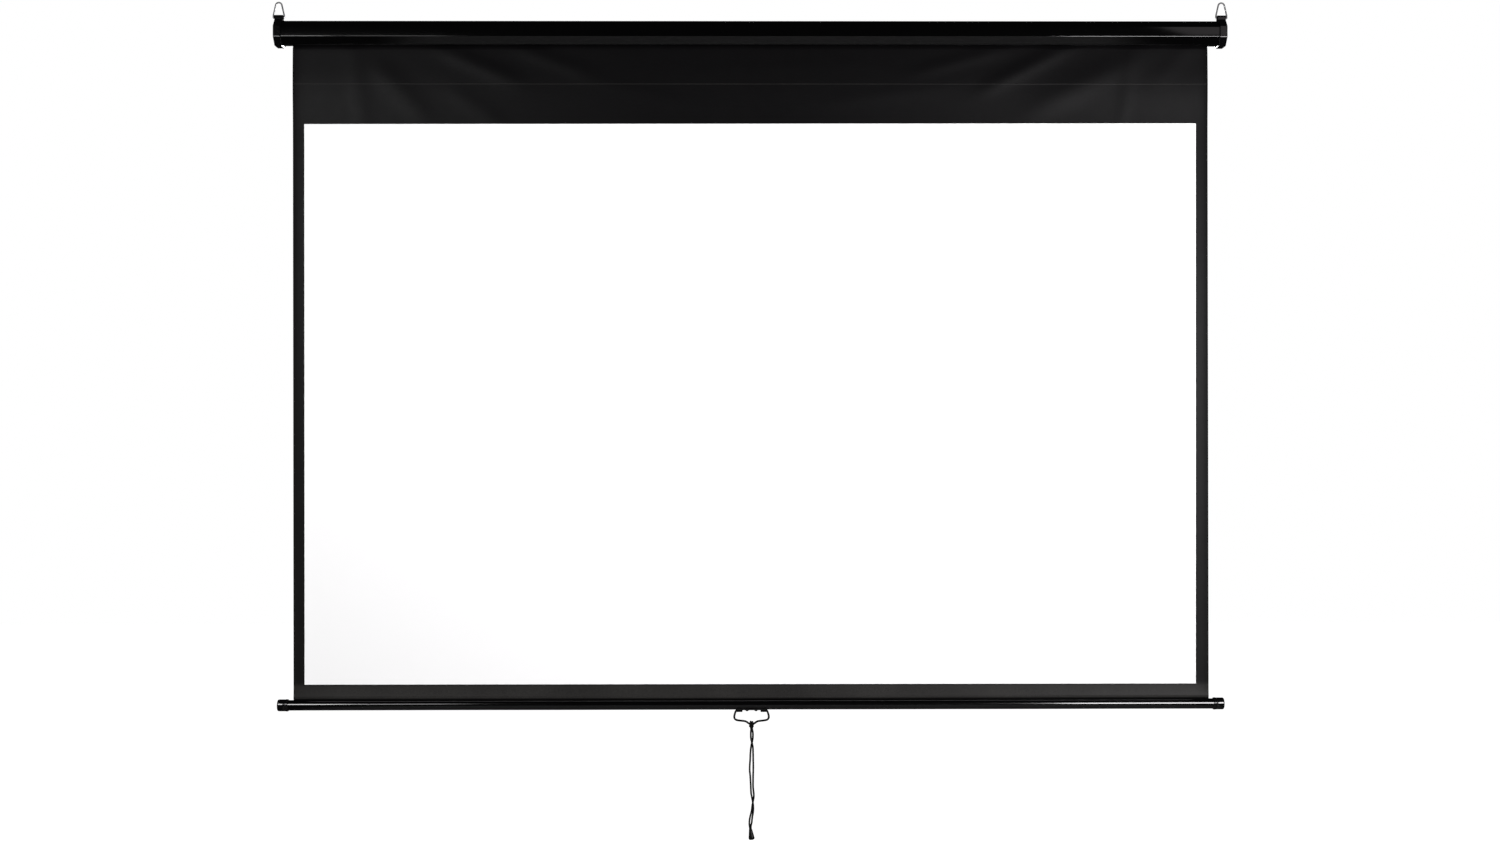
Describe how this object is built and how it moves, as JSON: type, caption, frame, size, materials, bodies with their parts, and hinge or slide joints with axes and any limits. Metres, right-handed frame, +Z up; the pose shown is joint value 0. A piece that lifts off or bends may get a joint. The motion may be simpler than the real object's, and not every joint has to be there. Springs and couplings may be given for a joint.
{
  "type": "projector screen",
  "caption": "Manual pull-down projection screen: black steel casing with a spring roller, white picture in black borders, weighted bottom bar, wire handle and pull cord.",
  "frame": {"origin": "middle of the casing's flat back face, against the wall", "axes": "+X to the right seen from the front, -Y towards the viewers, +Y into the wall, +Z up"},
  "size_m": [2.1318, 0.062, 1.875],
  "materials": {
    "casing_paint": "gloss black powder coat on roll-formed steel",
    "cap_plastic": "satin black moulded plastic",
    "zinc_steel": "bright zinc plate",
    "spring_steel": "oiled spring wire",
    "tube_steel": "galvanised",
    "nylon": "natural nylon",
    "black_fabric": "matt black backing and masking borders",
    "white_surface": "matt white viewing surface",
    "bar_paint": "satin black",
    "handle_wire": "black coated wire",
    "black_cord": "braided polyester",
    "bell_plastic": "black moulded plastic",
    "screw_black": "blackened steel"
  },
  "bodies": {
    "casing_assembly": {"casing": "casing_paint", "end_cap_left": "cap_plastic", "end_cap_right": "cap_plastic", "bracket_screw_left_upper": "screw_black", "bracket_screw_left_lower": "screw_black", "bracket_screw_right_upper": "screw_black", "bracket_screw_right_lower": "screw_black", "tang_bracket": "zinc_steel", "idle_bracket": "zinc_steel", "idle_bush": "nylon", "tang_shaft": "zinc_steel", "ratchet_disc": "zinc_steel", "spring_anchor": "nylon", "torsion_spring": "spring_steel", "black_fabric": "black_fabric", "white_viewing_layer": "white_surface"},
    "roller": {"roller_tube": "tube_steel", "fabric_roll": "black_fabric", "spring_end_plug": "nylon", "drive_plug": "nylon", "idle_end_plug": "nylon", "idle_pin": "zinc_steel", "pawl_pin_a": "zinc_steel", "pawl_pin_b": "zinc_steel"},
    "pawl_a": {"pawl_a": "zinc_steel"},
    "pawl_b": {"pawl_b": "zinc_steel"},
    "bar": {"bottom_bar": "bar_paint", "bar_cap_left": "cap_plastic", "bar_cap_right": "cap_plastic", "hem_rod": "nylon", "fabric_hem": "black_fabric", "handle_bracket": "casing_paint", "handle_screw_left": "screw_black", "handle_screw_right": "screw_black"},
    "bail": {"handle_bail": "handle_wire"},
    "pull_cord": {"cord_knot": "black_cord", "cord_front_strand": "black_cord", "cord_rear_strand": "black_cord", "cord_bell": "bell_plastic"},
    "ring_left": {"hang_ring_left": "zinc_steel"},
    "ring_right": {"hang_ring_right": "zinc_steel"}
  },
  "joints": [
    {"name": "bar_slide", "type": "slide", "parent": "casing_assembly", "child": "bar", "axis": [0, 0, 1], "range_m": [0, 1.4569], "deforming": ["black_fabric", "white_viewing_layer"]},
    {"name": "roller_spin", "type": "hinge", "parent": "casing_assembly", "child": "roller", "pos_m": [0, -0.0341, 0], "axis": [1, 0, 0], "range_deg": [0, 4321]},
    {"name": "pawl_a_drop", "type": "hinge", "parent": "roller", "child": "pawl_a", "pos_m": [-1.045, -0.0276, 0.0083], "axis": [1, 0, 0], "range_deg": [0, 15]},
    {"name": "pawl_b_drop", "type": "hinge", "parent": "roller", "child": "pawl_b", "pos_m": [-1.045, -0.0406, -0.0083], "axis": [1, 0, 0], "range_deg": [0, 15]},
    {"name": "handle_swing", "type": "hinge", "parent": "bar", "child": "bail", "pos_m": [0, -0.016, -1.51453], "axis": [1, 0, 0], "range_deg": [-85, 85]},
    {"name": "cord_swing", "type": "hinge", "parent": "bail", "child": "pull_cord", "pos_m": [0, -0.016, -1.54593], "axis": [1, 0, 0], "range_deg": [-60, 60]},
    {"name": "ring_left_swing", "type": "hinge", "parent": "casing_assembly", "child": "ring_left", "pos_m": [-1.0534, -0.02899, 0.03448], "axis": [1, 0, 0], "range_deg": [-90, 90]},
    {"name": "ring_right_swing", "type": "hinge", "parent": "casing_assembly", "child": "ring_right", "pos_m": [1.0534, -0.02899, 0.03448], "axis": [1, 0, 0], "range_deg": [-90, 90]}
  ],
  "couplings": [
    {"joint": "roller_spin", "follows": "bar_slide", "rad_per_m": 51.752}
  ]
}
